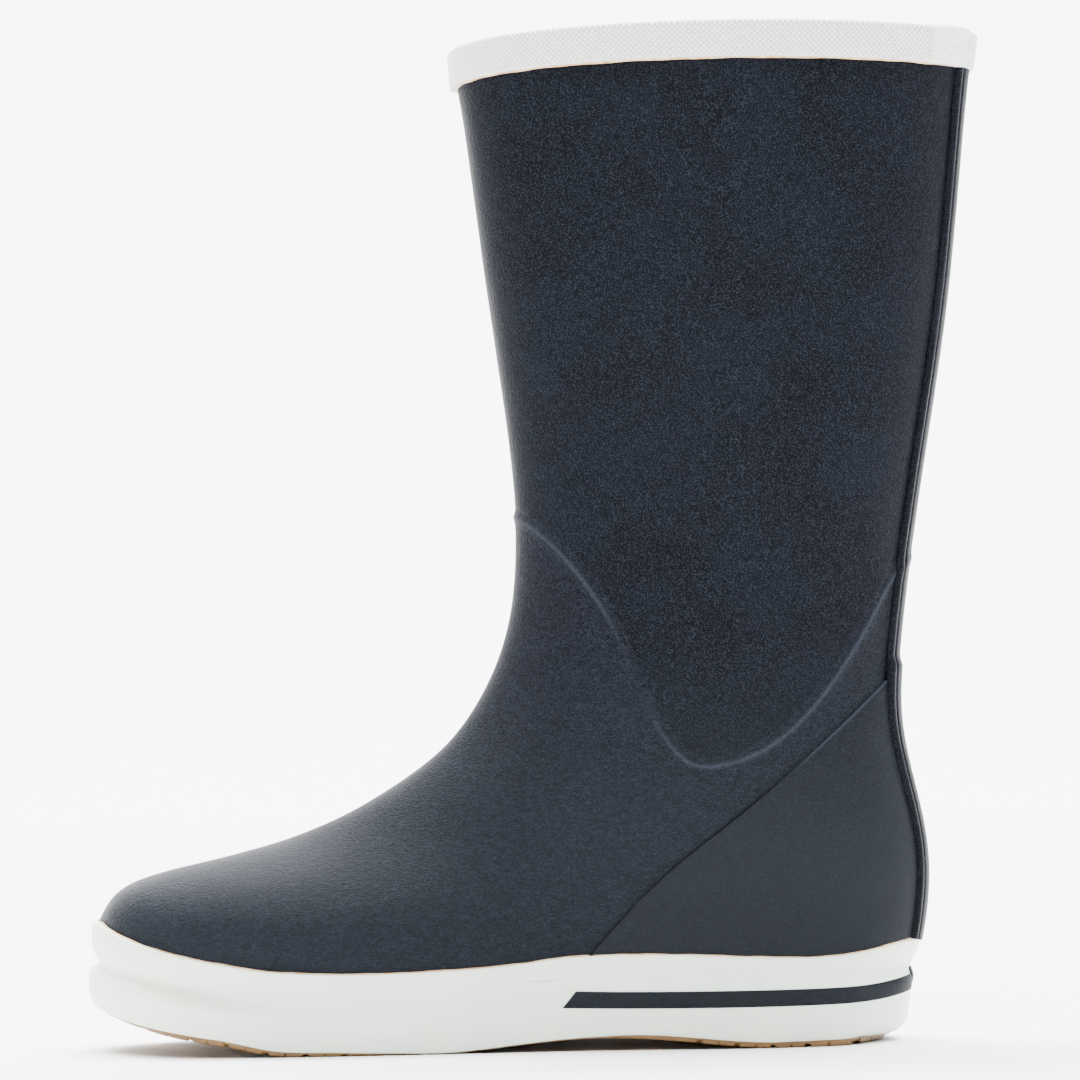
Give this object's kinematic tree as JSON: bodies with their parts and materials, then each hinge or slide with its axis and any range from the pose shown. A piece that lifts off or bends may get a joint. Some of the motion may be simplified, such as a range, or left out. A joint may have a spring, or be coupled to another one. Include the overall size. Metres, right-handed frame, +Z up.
{
  "type": "rubber deck boot",
  "caption": "Knee-low rubber sailing boot with a folded collar tape, back strip, heel overlay, light edge foxing with an inlaid stripe, gum tread and loose footbed.",
  "frame": {"origin": "on the floor, under the middle of the boot's bounding box", "axes": "+Z up the leg, -X towards the toe, -Y towards the inner side of the foot"},
  "size_m": [0.312, 0.1064, 0.3476],
  "materials": {
    "navy_rubber": "satin, fine pebbled grain",
    "navy_stripe": "satin",
    "white_rubber": "matt, faint grain",
    "white_binding": "matt, embossed diamond weave",
    "gum_rubber": "satin, translucent tan",
    "dark_filler": "matt",
    "canvas_backing": "rubbered canvas",
    "fibre_board": "pressed fibre",
    "knit_lining": "knitted jersey",
    "lining_tape": "woven tape",
    "spring_steel": "rolled",
    "footbed_foam": "open foam",
    "footbed_textile": "woven, slightly brushed"
  },
  "bodies": {
    "boot": {"leg_rubber": "navy_rubber", "vamp_rubber": "navy_rubber", "heel_quarter": "navy_rubber", "heel_counter": "navy_rubber", "back_strip": "navy_rubber", "collar_binding": "white_binding", "toe_puff": "canvas_backing", "ankle_reinforcement": "canvas_backing", "heel_stiffener": "fibre_board", "leg_lining": "knit_lining", "foot_lining": "knit_lining", "lining_seam_tape": "lining_tape", "insole_board": "fibre_board", "bottom_filler": "dark_filler", "midsole": "dark_filler", "arch_shank": "spring_steel", "outsole": "gum_rubber", "upper_foxing": "white_rubber", "bumper_band": "white_rubber", "heel_stripe_inner": "navy_stripe", "heel_stripe_outer": "navy_stripe"},
    "footbed": {"footbed_foam": "footbed_foam", "footbed_cover": "footbed_textile"}
  },
  "joints": [
    {"name": "footbed_lift", "type": "hinge", "parent": "boot", "child": "footbed", "pos_m": [-0.1419, 0, 0.024], "axis": [0, -1, 0], "range_deg": [0, 8]}
  ]
}
